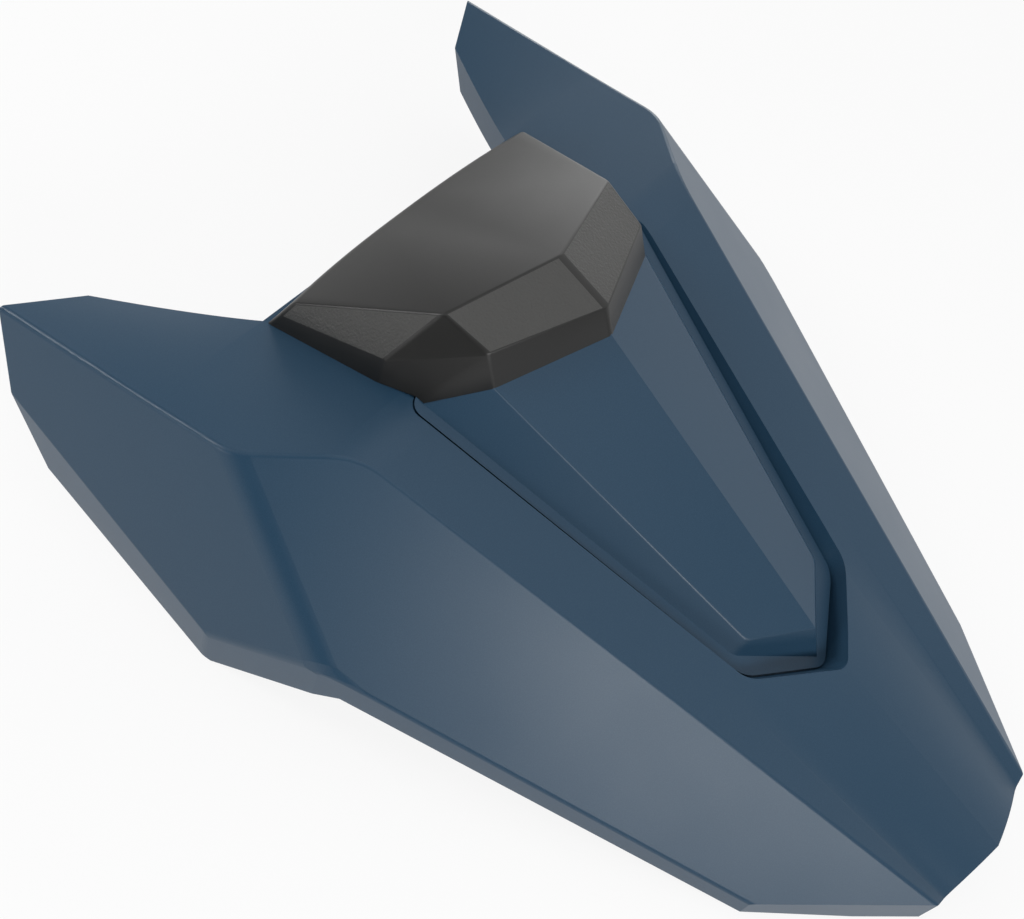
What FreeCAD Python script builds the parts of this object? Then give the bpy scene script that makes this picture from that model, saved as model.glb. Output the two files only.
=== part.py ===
"""Seat cowl for a motorbike: the painted shell with its two wings, the centre
cowl in its recess, the backrest pad, and the base that locks in the seat's place.

X runs across the bike, Y to the rear and Z up. The origin is in the middle of
the flat on which the lower edges stand. Every length is in millimetres.
"""
import FreeCAD, Part
import math
import os

V = FreeCAD.Vector
UP = V(0, 0, 1)

# Lengths of the blocks, upright prisms and drills that cut the pieces, beyond their sizes
REACH = 700.0
TALL = 150.0
DRILL = 24.0

# How far every piece moves to the rear so that the origin is in the middle of the length
CENTRING = 2.5

# Corners of the shell's right half: half width, place to the rear, height
WING_TIP = V(123.0, -189.5, 64.8)
WING_INNER = V(97.5, -174.5, 63.9)
SHOULDER = V(117.0, -88.9, 85.4)
HIP = V(90.6, -59.7, 91.7)
TAIL_CORNER = V(33.2, 178.1, 18.6)
TAIL_MIDDLE = V(0.0, 183.6, 22.5)
SEAT_CORNER = V(66.0, -123.7, 74.4)
DECK_REAR = V(60.0, -59.7, 90.4)
SKIRT_FRONT = V(134.0, -154.8, 13.4)
SKIRT_REAR = V(141.0, -69.1, 18.3)
FLANK_FRONT_Y = -28.0
FLANK_REAR = V(76.6, 128.2, 9.6)
VALLEY_FRONT = V(36.0, 63.4, 53.9)
VALLEY_REAR = V(27.4, 175.9, 17.2)

# How the shell's upper faces run on past its sides and its front, to be cut off there
TOP_PAST_SIDE = 170.0
TOP_PAST_TAIL = 1.15
TOP_AHEAD = V(-8.0, -50.0, -13.0)

# Half width of the soft fold across the shell, and the rise of the crown behind the recess
FOLD = 8.0
CROWN_RISE = [0.0, 7.4, 5.2, 7.0]
VALLEY_BLEND = 0.3
CROWN_BLEND = 0.14

# Lower edge of the shell seen from the side: place to the rear, height
EDGE_HEEL = V(0.0, -66.0, 0.0)
EDGE_ARCH = V(0.0, -19.3, 28.4)
EDGE_DIP = V(0.0, 128.0, 0.0)
EDGE_TAIL = V(0.0, 160.0, 0.0)
EDGE_END = V(0.0, 186.0, 5.0)

# Walls and edges of the shell
WALL = 2.8
WING_RETURN = 12.0
SHOULDER_ROUND = 2.0
FLANK_ROUND = 16.0
CORNER_ROUND = 9.0
CREASE_ROUND = 2.5
GUSSET = 2.0
GUSSET_RAISE = 8.0

# Recess in the shell: its rim on the upper faces, and the slope of its walls in degrees
RIM_FRONT = V(64.4, -63.7, 90.8)
RIM_CORNER = V(32.9, 78.8, 49.4)
RIM_TIP = V(0.0, 103.1, 46.0)
RIM_DRAFT = 26.0
RIM_FRONT_ROUND = 6.0
RIM_CORNER_ROUND = 13.0
RIM_TIP_ROUND = 6.0

# Plane of the centre cowl's flange: height at the origin, and fall to the rear
FLANGE_HEIGHT = 69.4
FLANGE_SLOPE = 0.333
FLANGE_GAP = 0.7
FLANGE_WIDTH = 3.7
FLANGE_THICK = 2.2
LEDGE_WIDTH = 24.0

# Raised middle of the centre cowl: half width, place to the rear, height over the flange
CREASE_FRONT = V(42.6, -44.5, 15.3)
CREASE_REAR = V(21.4, 70.3, 6.2)
RIDGE_FRONT = V(0.0, -29.9, 27.0)
RIDGE_REAR = V(0.0, 84.9, 10.8)
HUMP_WALL = 2.2
HUMP_LAP = 15.0
HUMP_EDGE = 1.5
HUMP_CORNER = 8.0

# Backrest pad: corners of its upper face, of its facets and of its foot
PAD_FRONT = V(61.9, -115.9, 89.4)
PAD_BOW = 4.0
PAD_SHOULDER = V(44.5, -69.8, 116.1)
PAD_PEAK = V(0.0, -57.8, 122.1)
PAD_SIDE = V(59.5, -77.3, 96.2)
PAD_HEEL = V(42.7, -50.9, 110.8)
PAD_HEEL_MIDDLE = V(0.0, -35.3, 116.4)
PAD_FOOT_FRONT = V(66.2, -122.2, 74.7)
PAD_FOOT_SIDE = V(62.0, -77.0, 86.1)
PAD_FOOT_HEEL = V(43.0, -44.8, 99.5)
PAD_FOOT_MIDDLE = V(0.0, -29.9, 106.6)
PAD_FOOT_BOW = 1.4

# Base plate
BASE_TOP = 27.0
BASE_THICK = 3.0
BASE_FRONT = -118.5
BASE_BEND = 56.0
BASE_END = 158.0
BASE_END_TOP = 13.5
BASE_OUTLINE = [V(62, BASE_FRONT), V(90, BASE_FRONT + 26.5), V(90, -20), V(50, 140), V(36, BASE_END)]
RIB_DEPTH = 7.0
RIB_THICK = 2.0
RIB_X = 25.0
CROSS_RIBS = [-40.0, 82.0]

# Hooks of the base plate that slip under the frame's bar
HOOK_SPAN = 76.0
HOOK_WIDTH = 22.0
HOOK_THICK = 6.0
HOOK_LENGTH = 26.0
HOOK_DROP = 8.0
SLEEVE_WALL = 1.5
SLEEVE_LENGTH = 16.0

# Lock striker under the base plate
STRIKER_ROD = 8.0
STRIKER_SPAN = 34.0
STRIKER_Y = 34.0
STRIKER_DEPTH = 22.0
STRIKER_BEND = 9.0
STRIKER_PLATE = (64.0, 30.0, 2.5)
STRIKER_COLLAR = 12.0
STRIKER_COLLAR_HIGH = 2.0
STRIKER_NUT = 13.0
ROD_CLEARANCE = 0.2

# Screws, bosses, studs and nuts
BOSS = 9.0
BOSS_HOLE = 4.2
BOSS_DEPTH = 16.0
SCREW = 4.0
SCREW_LENGTH = 15.0
SCREW_HEAD = 11.0
SCREW_HEAD_HIGH = 3.0
BASE_SCREWS = [V(74, -92), V(74, -18), V(34, 128)]
COWL_SCREWS = [-22.0, 38.0]
COWL_BOSS = 7.0
COWL_SCREW_LENGTH = 11.0
COWL_BOSS_INSET = 18.0
SCREW_PAD = 1.5
BOLT_HEAD_HIGH = 4.0
STUD = 6.0
STUD_CLEARANCE = 0.3
STUD_HEAD = 14.0
STUD_HEAD_HIGH = 2.0
STUD_PLACES = [V(34, -104), V(30, -76)]
NUT_ACROSS = 10.0
NUT_HIGH = 6.0
NUT_FLANGE = 13.0

# Carrier under the pad, and the brace under the deck
CARRIER_THICK = 3.0
CARRIER_OUTLINE = [V(56, -115), V(50, -84), V(42, -66)]
BRACE_THICK = 2.0
BRACE_HALF = 46.0
BRACE_FRONT = -112.0
BRACE_REAR = -68.0
BRACE_FOOT = 16.0
BRACE_BOLT = 6.0

# Rubbers under the base plate
RUBBER_WIDE = 22.0
RUBBER_HIGH = 10.0
RUBBER_STEM = 8.0
RUBBER_BARB = 11.0
RUBBERS = {"front": V(72, -58), "rear": V(57, 40)}

# Felt strips inside the wings
FELT_THICK = 2.0
FELT_FROM = V(0, -140, 34)
FELT_TO = V(0, -95, 56)
FOAM_HALF = 20.0
FOAM_FRONT = 139.0
FOAM_DEEP = 15.0


def mirrored(point):
    """The same point on the left half."""
    return V(-point.x, point.y, point.z)


def flip(shape):
    """The same shape on the left half."""
    return shape.mirror(V(), V(1, 0, 0))


def both_halves(half):
    """A right half joined to its mirror image."""
    return half.fuse(flip(half)).removeSplitter()


def on_line(a, b, y):
    """Point of the line a to b at a place along the bike."""
    return a + (b - a) * ((y - a.y) / (b.y - a.y))


def across(a, b, x):
    """Point of the line a to b at a half width."""
    return a + (b - a) * ((x - a.x) / (b.x - a.x))


def plane_normal(a, b, c, towards):
    """Unit normal of the plane through three points, on the side of towards."""
    normal = (b - a).cross(c - a)
    normal.normalize()
    return normal if normal.dot(towards) > 0 else normal * -1


def beyond(point, normal, inset=0.0):
    """Everything outside a plane, which first moves inwards by inset."""
    block = Part.makeBox(2 * REACH, 2 * REACH, REACH, V(-REACH, -REACH, 0))
    block.Placement = FreeCAD.Placement(point - normal * inset, FreeCAD.Rotation(UP, normal))
    return block


def wall_normal(a, b):
    """Outward normal of an upright wall that runs to the rear from a to b, right half."""
    along = V(b.x - a.x, b.y - a.y, 0)
    along.normalize()
    return V(along.y, -along.x, 0)


def prism(corners, low, high):
    """Upright solid over a plan outline."""
    base = [V(c.x, c.y, low) for c in corners]
    return Part.Face(Part.makePolygon(base + base[:1])).extrude(V(0, 0, high - low))


def side_prism(corners, half_width):
    """Solid over an outline seen from the side, as wide on both halves."""
    base = [V(-half_width, c.y, c.z) for c in corners]
    return Part.Face(Part.makePolygon(base + base[:1])).extrude(V(2 * half_width, 0, 0))


def near_segment(point, a, b, slack):
    """Whether a point lies within slack of the straight line from a to b."""
    along = b - a
    t = max(0.0, min(1.0, (point - a).dot(along) / along.dot(along)))
    return (point - a - along * t).Length < slack


def edges_near(shape, lines, slack=3.0):
    """The edges that run along any of the given straight lines, or their mirror images."""
    found = []
    lines = list(lines) + [(mirrored(a), mirrored(b)) for a, b in lines]
    for edge in shape.Edges:
        ends = [edge.valueAt(edge.FirstParameter), edge.valueAt(edge.LastParameter)]
        ends.append(edge.valueAt((edge.FirstParameter + edge.LastParameter) / 2))
        if any(all(near_segment(p, a, b, slack) for p in ends) for a, b in lines):
            found.append(edge)
    return found


def patch(rows):
    """Solid under a smooth face drawn by rows of points, straight where a row has two."""
    face = Part.BezierSurface()
    face.increase(len(rows) - 1, len(rows[0]) - 1)
    for i, row in enumerate(rows):
        for j, point in enumerate(row):
            face.setPole(i + 1, j + 1, point)
    return face.toShape().extrude(V(0, 0, -REACH / 2))


def between(line, other, share):
    """The straight line at a share of the way from one line to another."""
    return tuple(p + (q - p) * share for p, q in zip(line, other))


def softened(before, fold, behind):
    """Three patches: up to a fold line, round it, and on behind it."""
    start = between(before, fold, 1 - FOLD / (fold[0].y - before[0].y))
    end = between(fold, behind, FOLD / (behind[0].y - fold[0].y))
    reach = (start[1].x - end[0].x) / (end[1].x - end[0].x)
    short = (end[0], end[0] + (end[1] - end[0]) * reach)
    bend = (fold[0], across(fold[0], fold[1], start[1].x))
    return [patch([before, start]), patch([start, bend, short]), patch([end, behind])]


def under_top():
    """Solid under the shell's upper faces, which run out past its sides."""
    wing_mid = on_line(WING_TIP, SHOULDER, SEAT_CORNER.y)
    flank_mid = on_line(HIP, TAIL_CORNER, VALLEY_FRONT.y)
    valley_end = VALLEY_FRONT + (VALLEY_REAR - VALLEY_FRONT) * TOP_PAST_TAIL
    flank_end = flank_mid + (TAIL_CORNER - flank_mid) * TOP_PAST_TAIL
    side = TOP_PAST_SIDE
    reach = (side - DECK_REAR.x) / (HIP.x - DECK_REAR.x)
    tip_line = (across(WING_INNER, WING_TIP, SEAT_CORNER.x), across(WING_INNER, WING_TIP, side))
    seat_line = (SEAT_CORNER, across(SEAT_CORNER, wing_mid, side))
    hip_line = (DECK_REAR, DECK_REAR + (HIP - DECK_REAR) * reach)
    mid_line = (VALLEY_FRONT, VALLEY_FRONT + V((flank_mid.x - VALLEY_FRONT.x) * reach, 0, 0))
    tail_line = (valley_end, valley_end + (flank_end - valley_end) * reach)
    solids = [patch([tuple(p + TOP_AHEAD for p in tip_line), tip_line]), patch([tip_line, seat_line])]
    solids += softened(seat_line, hip_line, mid_line)
    share = VALLEY_BLEND / reach
    inner = [a + (b - a) * share for a, b in (mid_line, tail_line)]
    solids.append(patch([(inner[0], mid_line[1]), (inner[1], tail_line[1])]))
    solids += softened(*[(mirrored(p), p) for p in (SEAT_CORNER, DECK_REAR, VALLEY_FRONT)])
    keep = 1 - CROWN_BLEND
    bend = (1 + keep * keep) / (2 * keep)
    crown = []
    valley = []
    last = len(CROWN_RISE) - 1
    for i, rise in enumerate(CROWN_RISE):
        p = VALLEY_FRONT + (valley_end - VALLEY_FRONT) * (i / last)
        edge = V(p.x * keep, p.y, p.z + rise * (1 - keep * keep))
        crown.append((mirrored(edge), V(0, p.y, p.z + rise * (1 + keep * keep)), edge))
        valley.append((edge, V(p.x * bend, p.y, p.z), inner[0] + (inner[1] - inner[0]) * (i / last)))
    solids += [patch(crown), patch(valley)]
    return solids[0].fuse(solids[1:])


def meeting_point(planes):
    """Where three planes meet, each given by a point and a normal."""
    (p, m), (q, n), (r, o) = planes
    sum_of_parts = n.cross(o) * m.dot(p) + o.cross(m) * n.dot(q) + m.cross(n) * o.dot(r)
    return sum_of_parts * (1 / m.dot(n.cross(o)))


def side_normals():
    """Outward normals of the wing's side, of the flank and of the raked front."""
    side = plane_normal(WING_TIP, SHOULDER, SKIRT_REAR, V(1, 0, 0))
    flank = plane_normal(HIP, TAIL_CORNER, FLANK_REAR, V(1, 0, 0))
    rake = plane_normal(WING_TIP, WING_INNER, SKIRT_FRONT, V(0, -1, 0))
    return side, flank, rake


def flank_front():
    """Corner where the wing's side and the flank meet above the arch."""
    side, flank, rake = side_normals()
    return meeting_point([(WING_TIP, side), (HIP, flank), (V(0, FLANK_FRONT_Y, 0), V(0, 1, 0))])


def half_form(inset, roof, open_front=False):
    """Right half of the shell's form, with its walls and its roof moved in."""
    side, flank, rake = side_normals()
    corner = flank_front()
    tools = [beyond(WING_TIP, side, inset), beyond(HIP, flank, inset)]
    outline = [SKIRT_FRONT, SKIRT_REAR, corner, FLANK_REAR, TAIL_CORNER, TAIL_MIDDLE]
    for a, b in zip(outline, outline[1:]):
        tools.append(beyond(a, wall_normal(a, b), inset))
    if inset > 0:
        middle = side + flank
        rounded_off = FLANK_ROUND * (2 / middle.Length - 1)
        middle.normalize()
        tools.append(beyond(corner, middle, inset + rounded_off))
    if not open_front:
        front = beyond(V(0, SEAT_CORNER.y, 0), V(0, -1, 0), inset)
        gap = front.common(beyond(SEAT_CORNER, wall_normal(SEAT_CORNER, WING_INNER), inset))
        tools += [gap, front.common(beyond(WING_TIP, rake, inset))]
    tools += [beyond(V(0, 0, -1), V(0, 0, -1)), beyond(V(0, 0, 0), V(-1, 0, 0))]
    body = under_top()
    body.translate(V(0, 0, -roof))
    return body.cut(tools)


def rounded_form():
    """The shell's outer form with its edges rounded, both halves."""
    side, flank, rake = side_normals()
    corner = flank_front()
    skirt = wall_normal(SKIRT_FRONT, SKIRT_REAR)
    crease_front = meeting_point([(WING_TIP, side), (WING_TIP, rake), (SKIRT_REAR, skirt)])
    foot = V(SKIRT_REAR.x, SKIRT_REAR.y, -1)
    steps = [
        (FLANK_ROUND, [(SHOULDER, corner)]),
        (SHOULDER_ROUND, [(WING_TIP, SHOULDER), (SHOULDER, HIP)]),
        (CORNER_ROUND, [(foot, SKIRT_REAR), (SKIRT_REAR, corner)]),
        (CREASE_ROUND, [(crease_front, SKIRT_REAR), (corner, FLANK_REAR)]),
    ]
    half = half_form(0, 0).removeSplitter().Solids[0]
    for radius, lines in steps:
        half = half.makeFillet(radius, edges_near(half, lines))
    return both_halves(half)


def rim_planes():
    """The recess's sloped side and rear walls: a point and the outward normal of each."""
    planes = []
    for a, b in ((RIM_FRONT, RIM_CORNER), (RIM_CORNER, RIM_TIP)):
        outward = wall_normal(a, b)
        down = outward * -math.sin(math.radians(RIM_DRAFT)) - UP * math.cos(math.radians(RIM_DRAFT))
        planes.append((a, plane_normal(a, b, a + down, outward)))
    return planes


def rim_corners(inset):
    """Corners of the flange's outline in its own plane, moved inwards from the recess's wall."""
    floor = (V(0, 0, FLANGE_HEIGHT), flange_normal())
    side, rear = [(point - normal * inset, normal) for point, normal in rim_planes()]
    front = (V(0, RIM_FRONT.y + inset, 0), V(0, 1, 0))
    middle = (V(0, 0, 0), V(1, 0, 0))
    return [meeting_point([floor, front, side]), meeting_point([floor, side, rear]),
            meeting_point([floor, rear, middle])]


def rim_loop(inset):
    """Closed plan outline inside the recess, on both halves."""
    right = rim_corners(inset)
    return right + [mirrored(p) for p in reversed(right[:2])]


def rim_solid(inset, round_off=True):
    """Everything inside the recess's walls, moved inwards, with its slanted corners rounded."""
    side, rear = rim_planes()
    tools = [beyond(point, normal, inset) for point, normal in (side, rear)]
    right = Part.makeBox(REACH, REACH, TALL, V(0, RIM_FRONT.y + inset, 0)).cut(tools)
    solid = both_halves(right)
    if not round_off:
        return solid
    front, corner, tip = rim_corners(inset)
    for radius, place in ((RIM_FRONT_ROUND, front), (RIM_CORNER_ROUND, corner), (RIM_TIP_ROUND, tip)):
        slant = []
        for edge in solid.Edges:
            if len(edge.Vertexes) == 2 and abs(edge.tangentAt(edge.FirstParameter).z) > 0.5:
                if min(edge.distToShape(Part.Vertex(p))[0] for p in (place, mirrored(place))) < 0.1:
                    slant.append(edge)
        solid = solid.makeFillet(radius - inset, slant)
    return solid


def flange_normal():
    """Upward normal of the plane in which the flange and the recess's floor lie."""
    normal = V(0, FLANGE_SLOPE, 1)
    normal.normalize()
    return normal


def above_flange(lift):
    """Everything above the flange's upper face, moved up by lift."""
    return beyond(V(0, 0, FLANGE_HEIGHT), flange_normal(), -lift)


def flange_point(x, y, lift=0.0):
    """Point over the flange's plane at a plan place."""
    return V(x, y, FLANGE_HEIGHT - FLANGE_SLOPE * y + lift)


def deck_normal():
    """Upward normal of the deck's plane."""
    return plane_normal(SEAT_CORNER, DECK_REAR, mirrored(DECK_REAR), UP)


def above_deck(lift):
    """Everything above the shell's deck, moved up by lift."""
    return beyond(SEAT_CORNER, deck_normal(), -lift)


def on_deck(shape, place, lift=0.0):
    """A shape that stands at the origin, put on the deck at a plan place."""
    normal = deck_normal()
    height = SEAT_CORNER.z - (normal.y * (place.y - SEAT_CORNER.y)) / normal.z
    shape.Placement = FreeCAD.Placement(V(place.x, place.y, height) + normal * lift,
                                        FreeCAD.Rotation(UP, normal))
    return shape


def bottom_tool():
    """What is cut away under the shell's lower edge, seen from the side."""
    front = V(0, SKIRT_FRONT.y, SKIRT_FRONT.z)
    start = on_line(front, EDGE_HEEL, -REACH / 2)
    low = [V(0, REACH / 2, -50), V(0, -REACH / 2, -50)]
    line = [start, EDGE_HEEL, EDGE_ARCH, EDGE_DIP, EDGE_TAIL, EDGE_END, V(0, REACH / 2, EDGE_END.z)]
    return side_prism(line + low, REACH)


def on_flange(shape, place, lift=0.0):
    """A shape that stands at the origin, put on the flange's plane at a plan place."""
    normal = flange_normal()
    point = flange_point(place.x, place.y) + normal * lift
    shape.Placement = FreeCAD.Placement(point, FreeCAD.Rotation(UP, normal))
    return shape


def both_sides(places):
    """Plan places on both halves."""
    return list(places) + [mirrored(p) for p in places]


def drill(size):
    """Long round bar through the origin, upright, to cut a hole of this size."""
    return Part.makeCylinder(size / 2, DRILL, V(0, 0, -DRILL / 2))


def hexagon(size, high, low=0.0):
    """Six-sided prism on the Z axis, with its width over two flats."""
    radius = size / math.sqrt(3)
    corners = [V(radius * math.cos(math.radians(60 * i)), radius * math.sin(math.radians(60 * i)), 0)
               for i in range(6)]
    return prism(corners, low, low + high)


def flanged_nut(bore):
    """Six-sided nut on a round flange, with its flange's face at the origin, body below."""
    flange = Part.makeCylinder(NUT_FLANGE / 2, 1.5, V(0, 0, -1.5))
    body = hexagon(NUT_ACROSS, NUT_HIGH, -NUT_HIGH).fuse(flange)
    return body.cut(Part.makeCylinder(bore / 2, 2 * NUT_HIGH, V(0, 0, -1.5 * NUT_HIGH)))


def screw(size, head, high, length):
    """Screw that points up, with the underside of its head at the origin."""
    body = Part.makeCylinder(head / 2, high, V(0, 0, -high))
    body = body.fuse(Part.makeCylinder(size / 2, length))
    return body.cut(hexagon(size * 0.6, high * 0.6, -high))


def base_line(drop=0.0):
    """The base plate's upper face seen from the side, lowered by drop."""
    return [V(0, BASE_FRONT - 20, BASE_TOP - drop), V(0, BASE_BEND, BASE_TOP - drop),
            V(0, BASE_END + 20, base_top_at(BASE_END + 20) - drop)]


def base_top_at(y):
    """Height of the base plate's upper face at a place along the bike."""
    if y <= BASE_BEND:
        return BASE_TOP
    return BASE_TOP + (BASE_END_TOP - BASE_TOP) * (y - BASE_BEND) / (BASE_END - BASE_BEND)


def base_layer(upper, lower):
    """Everything between two depths under the base plate's upper face."""
    return side_prism(base_line(upper) + base_line(lower)[::-1], REACH)


def cowl_boss_places():
    """Plan places of the centre cowl's bosses on the right, beside its wall."""
    front, corner, tip = rim_corners(COWL_BOSS_INSET)
    return both_sides([on_line(front, corner, y) for y in COWL_SCREWS])


def main_shell():
    """The painted outer shell, open underneath, with its recess, deck and bosses."""
    form = rounded_form().cut(bottom_tool())
    cavity = half_form(WALL, WALL)
    ahead = beyond(V(0, SEAT_CORNER.y - 1, 0), V(0, -1, 0))
    beside = beyond(V(0, SEAT_CORNER.y + 2 * WALL, 0), V(0, -1, 0))
    beside = beside.common(beyond(V(SEAT_CORNER.x + WALL, 0, 0), V(1, 0, 0)))
    undercut = half_form(WALL, WING_RETURN, True).common(ahead.fuse(beside))
    hollow = both_halves(cavity.fuse(undercut))
    tub = rim_solid(-WALL, False).common(above_flange(-FLANGE_THICK - WALL))
    kept = [tub]
    for p in both_sides(BASE_SCREWS):
        boss = Part.makeCylinder(BOSS / 2, TALL, V(p.x, p.y, 0))
        low = base_top_at(p.y) + GUSSET_RAISE
        gusset = Part.makeBox(REACH, GUSSET, TALL, V(0, p.y - GUSSET / 2, low))
        if p.x < 0:
            gusset.translate(V(-REACH, 0, 0))
        gusset.translate(V(p.x, 0, 0))
        kept.append(boss.cut(base_layer(0, REACH / 2)))
        kept.append(gusset)
    hollow = hollow.cut(kept)
    pocket = rim_solid(0).common(above_flange(-FLANGE_THICK))
    window = prism(rim_loop(LEDGE_WIDTH), 0, TALL)
    doorway = Part.makeBox(2 * SEAT_CORNER.x + 4, 3 * WALL, BASE_TOP + 2,
                           V(-SEAT_CORNER.x - 2, SEAT_CORNER.y - WALL, -1))
    shell = form.cut([hollow, pocket, window, doorway])
    holes = []
    for p in both_sides(BASE_SCREWS):
        holes.append(Part.makeCylinder(BOSS_HOLE / 2, BOSS_DEPTH, V(p.x, p.y, base_top_at(p.y) - 1)))
    for p in cowl_boss_places():
        holes.append(on_flange(drill(BOSS_HOLE), p))
    for p in both_sides(STUD_PLACES):
        holes.append(on_deck(drill(STUD + 2 * STUD_CLEARANCE), p))
    return shell.cut(holes)


def hump_form(inset, low):
    """The centre cowl's raised middle, its faces moved in, down to a depth under the flange."""
    foot_front, foot_corner, foot_tip = rim_corners(FLANGE_GAP + FLANGE_WIDTH)
    crease_front, crease_rear, ridge_front, ridge_rear = [
        flange_point(p.x, p.y, p.z) for p in (CREASE_FRONT, CREASE_REAR, RIDGE_FRONT, RIDGE_REAR)]
    top = plane_normal(crease_front, ridge_front, ridge_rear, UP)
    side = plane_normal(crease_front, foot_corner, foot_front, V(1, 0, 0))
    rear = plane_normal(ridge_rear, crease_rear, foot_tip, V(0, 1, 0))
    front = V(0, crease_front.y - HUMP_LAP, 0)
    tools = [beyond(ridge_front, top, inset), beyond(foot_front, side, inset),
             beyond(foot_tip, rear, inset), beyond(front, V(0, -1, 0), inset),
             beyond(V(0, 0, 0), V(-1, 0, 0))]
    block = Part.makeBox(REACH, REACH, TALL, V(0, RIM_FRONT.y, 0))
    right = block.common(above_flange(-low)).cut(tools)
    if inset == 0:
        corner = meeting_point([(ridge_front, top), (foot_front, side), (foot_tip, rear)])
        ahead = meeting_point([(ridge_front, top), (foot_front, side), (front, V(0, 1, 0))])
        foot = meeting_point([(foot_tip, flange_normal()), (foot_front, side), (foot_tip, rear)])
        slant = (corner, foot + (foot - corner))
        right = right.makeFillet(HUMP_CORNER, edges_near(right, [slant], 1.0))
        right = right.makeFillet(HUMP_EDGE, edges_near(right, [(ahead, corner), (corner, ridge_rear)], 5.0))
    return both_halves(right)


def centre_cowl():
    """The raised cover in the recess, with its flange and its screw bosses."""
    flange = rim_solid(FLANGE_GAP).common(above_flange(-FLANGE_THICK))
    flange = flange.cut(above_flange(0))
    outer = hump_form(0, FLANGE_THICK)
    bosses = []
    holes = []
    for p in cowl_boss_places():
        bosses.append(on_flange(Part.makeCylinder(COWL_BOSS / 2, 60, V(0, 0, -FLANGE_THICK)), p))
        holes.append(on_flange(Part.makeCylinder(BOSS_HOLE / 2, COWL_SCREW_LENGTH,
                                                 V(0, 0, -FLANGE_THICK - WALL)), p))
    inner = hump_form(HUMP_WALL, FLANGE_THICK + 5).cut(bosses)
    return flange.fuse(outer).cut(inner).cut(holes)


def pad_front_block():
    """Everything behind the pad's bowed front face."""
    low, high = PAD_FOOT_FRONT, PAD_FRONT
    wires = []
    for z in (low.z - 20, high.z + 60):
        t = (z - low.z) / (high.z - low.z)
        x = low.x + (high.x - low.x) * t
        y = low.y + (high.y - low.y) * t
        bow = PAD_FOOT_BOW + (PAD_BOW - PAD_FOOT_BOW) * t
        side = 3 * x
        deep = bow * 9
        arc = Part.Arc(V(-side, y - bow + deep, z), V(0, y - bow, z), V(side, y - bow + deep, z)).toShape()
        back = Part.makePolygon([V(side, y - bow + deep, z), V(side, 100, z), V(-side, 100, z),
                                 V(-side, y - bow + deep, z)])
        wires.append(Part.Wire([arc] + back.Edges))
    return Part.makeLoft(wires, True, True)


def pad_form():
    """The pad's outer form down to the deck, before it is fitted over the centre cowl."""
    out = V(1, 0, 0.2)
    facets = [
        (PAD_FRONT, PAD_SHOULDER, PAD_PEAK, UP),
        (PAD_FRONT, PAD_SIDE, PAD_SHOULDER, out),
        (PAD_SHOULDER, PAD_SIDE, PAD_HEEL, out),
        (PAD_SHOULDER, PAD_PEAK, PAD_HEEL_MIDDLE, V(0, 1, 1)),
        (PAD_FOOT_FRONT, PAD_SIDE, PAD_FOOT_SIDE, out),
        (PAD_SIDE, PAD_HEEL, PAD_FOOT_HEEL, out),
        (PAD_HEEL, PAD_HEEL_MIDDLE, PAD_FOOT_MIDDLE, V(0, 1, 0)),
    ]
    tools = [beyond(a, plane_normal(a, b, c, towards)) for a, b, c, towards in facets]
    tools.append(beyond(V(0, 0, 0), V(-1, 0, 0)))
    right = pad_front_block().common(above_deck(-10)).cut(tools)
    return right


def above_seat():
    """Everything above the deck, the flange and the raised middle under the pad."""
    edge = V(0, RIM_FRONT.y + FLANGE_GAP, 0)
    deck = above_deck(0).common(beyond(edge, V(0, -1, 0)))
    floor = above_flange(0).common(beyond(edge, V(0, 1, 0)))
    return deck.fuse(floor).cut(hump_form(0, FLANGE_THICK))


def carrier_form(grow, thick):
    """Plate on the deck under the pad, grown over its outline."""
    outline = [V(p.x + grow, p.y, 0) for p in CARRIER_OUTLINE]
    outline[0].y -= grow
    outline[-1].y += grow
    plan = prism(outline + [mirrored(p) for p in reversed(outline)], 0, TALL)
    return plan.common(above_deck(0)).cut(above_deck(thick))


def backrest_pad():
    """The moulded pad, with a pocket for its carrier and the heads of the studs."""
    pad = both_halves(pad_form()).common(above_seat())
    heads = []
    for p in both_sides(STUD_PLACES):
        heads.append(on_deck(Part.makeCylinder(STUD_HEAD / 2, STUD_HEAD_HIGH, V(0, 0, CARRIER_THICK)), p))
    return pad.cut([carrier_form(0, CARRIER_THICK), both_halves(half_form(0, 0))] + heads)


def pad_carrier():
    """The stiff plate that the pad is moulded on."""
    holes = []
    for p in both_sides(STUD_PLACES):
        holes.append(on_deck(drill(STUD), p))
    return carrier_form(0, CARRIER_THICK).cut(holes)


def brace_top():
    """Depth of the brace's upper face under the deck's upper face, along the deck's normal."""
    return WALL * deck_normal().z


def pad_studs():
    """Four studs that come down from the pad's carrier through the deck."""
    studs = []
    for p in both_sides(STUD_PLACES):
        low = brace_top() + BRACE_THICK + NUT_HIGH + 3
        head = Part.makeCylinder(STUD_HEAD / 2, STUD_HEAD_HIGH, V(0, 0, CARRIER_THICK))
        shank = Part.makeCylinder(STUD / 2, low + CARRIER_THICK, V(0, 0, -low))
        studs.append(on_deck(head.fuse(shank), p))
    return Part.makeCompound(studs)


def pad_nuts():
    """The flanged nuts on the pad's studs, under the brace."""
    depth = -brace_top() - BRACE_THICK
    return Part.makeCompound([on_deck(flanged_nut(STUD), p, depth) for p in both_sides(STUD_PLACES)])


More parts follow.
